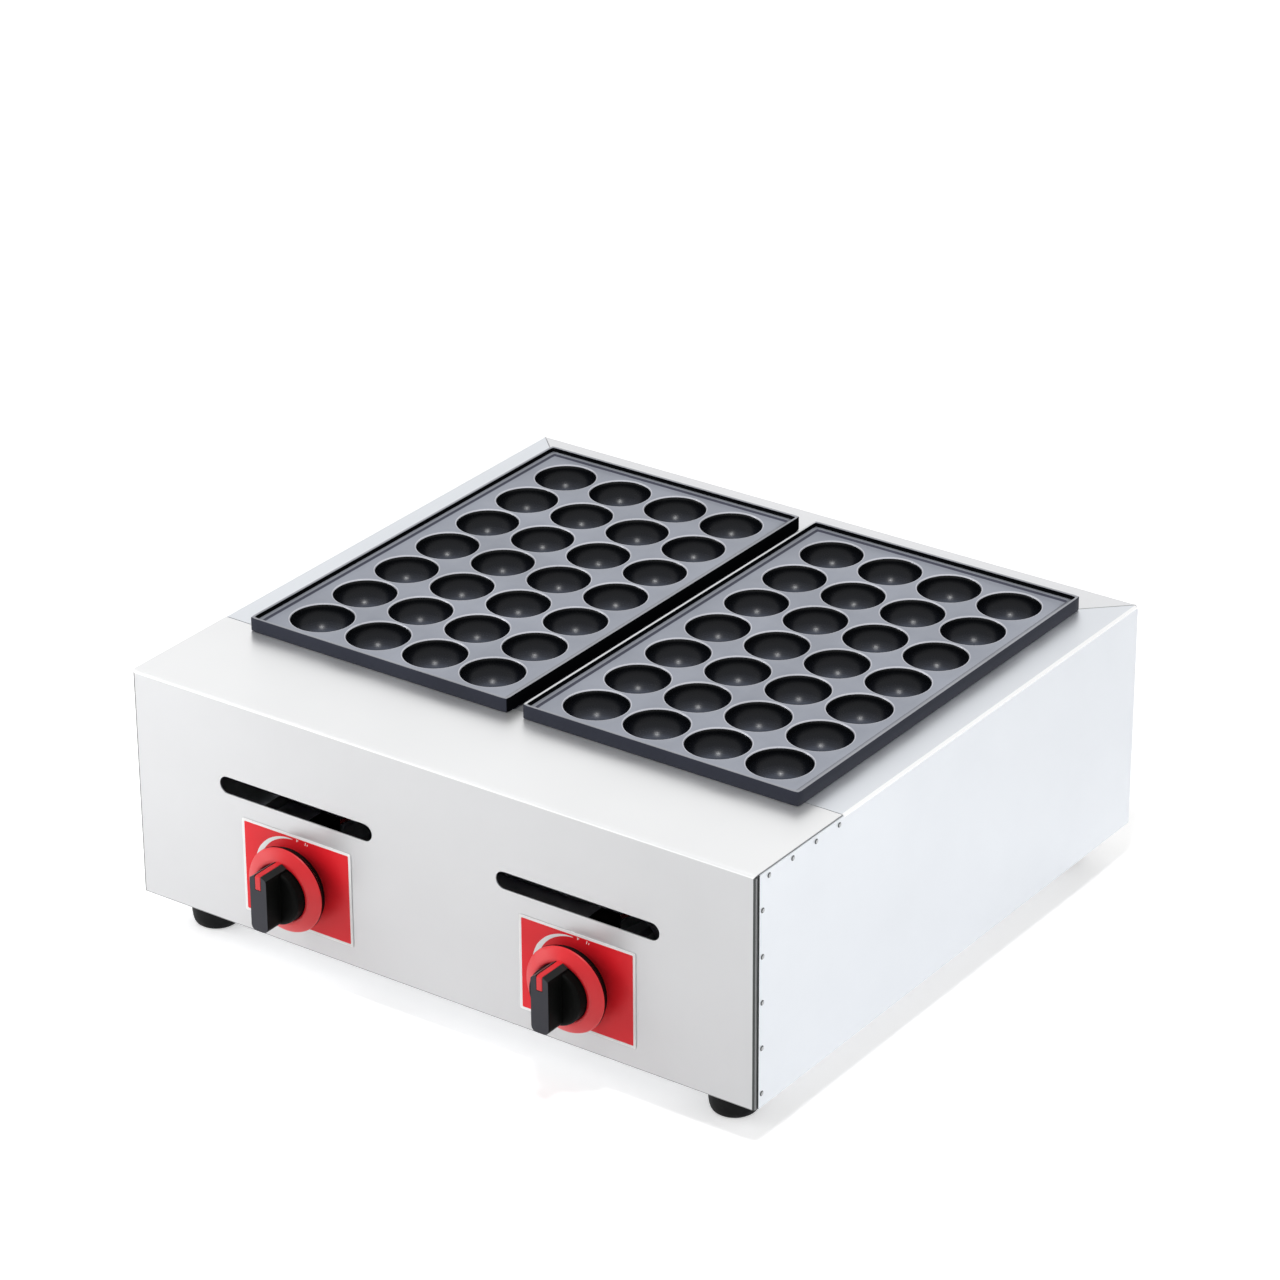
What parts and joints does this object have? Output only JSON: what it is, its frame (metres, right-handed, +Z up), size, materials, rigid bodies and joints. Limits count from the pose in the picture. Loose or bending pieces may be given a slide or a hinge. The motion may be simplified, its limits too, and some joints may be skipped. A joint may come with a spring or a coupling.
{
  "type": "takoyaki maker",
  "caption": "Countertop gas takoyaki maker: a steel cabinet on rubber feet, with side-by-side plates of round cups over burners and a control knob under each plate.",
  "frame": {"origin": "on the worktop, under the middle of the whole object's bounding box", "axes": "+X to the cook's right, +Y from the knobs to the rear, +Z up; the plates lie flat and both knobs are at off"},
  "size_m": [0.5524, 0.597, 0.2236],
  "materials": {
    "stainless_sheet": "satin brushed stainless sheet with softly rounded folds",
    "inner_sheet": "plain mill-finish sheet, duller than the outside",
    "coated_iron": "dark non-stick coating, smooth on top and turned inside the cups",
    "plated_steel": "bright zinc plating",
    "brass": "machined brass",
    "cast_metal": "die-cast, slightly grainy",
    "black_plastic": "moulded black plastic, satin",
    "red_plastic": "moulded red plastic, satin gloss",
    "printed_plate": "red printed plate with a white edge and plain marks",
    "foot_rubber": "black moulded rubber",
    "ceramic": "glazed ceramic with a wire tip",
    "cable_sheath": "silicone sheath"
  },
  "bodies": {
    "cabinet": {"front_panel": "stainless_sheet", "side_panel_left": "stainless_sheet", "side_panel_right": "stainless_sheet", "rear_panel": "stainless_sheet", "bottom_tray": "inner_sheet", "center_rail": "inner_sheet", "burner_left": "inner_sheet", "burner_right": "inner_sheet", "burner_rail_front": "inner_sheet", "burner_rail_rear": "inner_sheet", "gas_manifold": "plated_steel", "pipe_elbow": "brass", "feed_pipe": "plated_steel", "gas_inlet": "brass", "inlet_nut": "brass", "valve_bracket_left": "inner_sheet", "valve_cover_left": "cast_metal", "valve_body_left": "cast_metal", "gas_jet_left": "brass", "piezo_igniter_left": "black_plastic", "spark_electrode_left": "ceramic", "ignition_lead_left": "cable_sheath", "dial_plate_left": "printed_plate", "foot_front_left": "foot_rubber", "foot_screw_front_left": "plated_steel", "foot_nut_front_left": "plated_steel", "foot_rear_left": "foot_rubber", "foot_screw_rear_left": "plated_steel", "foot_nut_rear_left": "plated_steel", "valve_bracket_right": "inner_sheet", "valve_cover_right": "cast_metal", "valve_body_right": "cast_metal", "gas_jet_right": "brass", "piezo_igniter_right": "black_plastic", "spark_electrode_right": "ceramic", "ignition_lead_right": "cable_sheath", "dial_plate_right": "printed_plate", "foot_front_right": "foot_rubber", "foot_screw_front_right": "plated_steel", "foot_nut_front_right": "plated_steel", "foot_rear_right": "foot_rubber", "foot_screw_rear_right": "plated_steel", "foot_nut_rear_right": "plated_steel"},
    "grill_plate_left": {"grill_plate_left": "coated_iron"},
    "gas_tap_left": {"valve_plug_left": "brass", "valve_spring_left": "plated_steel"},
    "knob_left": {"control_knob_left": "black_plastic", "knob_ring_left": "red_plastic", "valve_spindle_left": "plated_steel"},
    "grill_plate_right": {"grill_plate_right": "coated_iron"},
    "gas_tap_right": {"valve_plug_right": "brass", "valve_spring_right": "plated_steel"},
    "knob_right": {"control_knob_right": "black_plastic", "knob_ring_right": "red_plastic", "valve_spindle_right": "plated_steel"}
  },
  "joints": [
    {"name": "grill_plate_left_lift", "type": "slide", "parent": "cabinet", "child": "grill_plate_left", "axis": [0, 0, 1], "range_m": [0, 0.06]},
    {"name": "grill_plate_right_lift", "type": "slide", "parent": "cabinet", "child": "grill_plate_right", "axis": [0, 0, 1], "range_m": [0, 0.06]},
    {"name": "knob_left_turn", "type": "hinge", "parent": "cabinet", "child": "gas_tap_left", "pos_m": [-0.125, -0.2535, 0.0823], "axis": [0, -1, 0], "range_deg": [0, 180]},
    {"name": "knob_left_push", "type": "slide", "parent": "gas_tap_left", "child": "knob_left", "axis": [0, 1, 0], "range_m": [0, 0.004], "stiffness_N_per_m": 800, "springref_m": -0.003, "deforming": ["valve_spring_left"]},
    {"name": "knob_right_turn", "type": "hinge", "parent": "cabinet", "child": "gas_tap_right", "pos_m": [0.125, -0.2535, 0.0823], "axis": [0, -1, 0], "range_deg": [0, 180]},
    {"name": "knob_right_push", "type": "slide", "parent": "gas_tap_right", "child": "knob_right", "axis": [0, 1, 0], "range_m": [0, 0.004], "stiffness_N_per_m": 800, "springref_m": -0.003, "deforming": ["valve_spring_right"]}
  ]
}
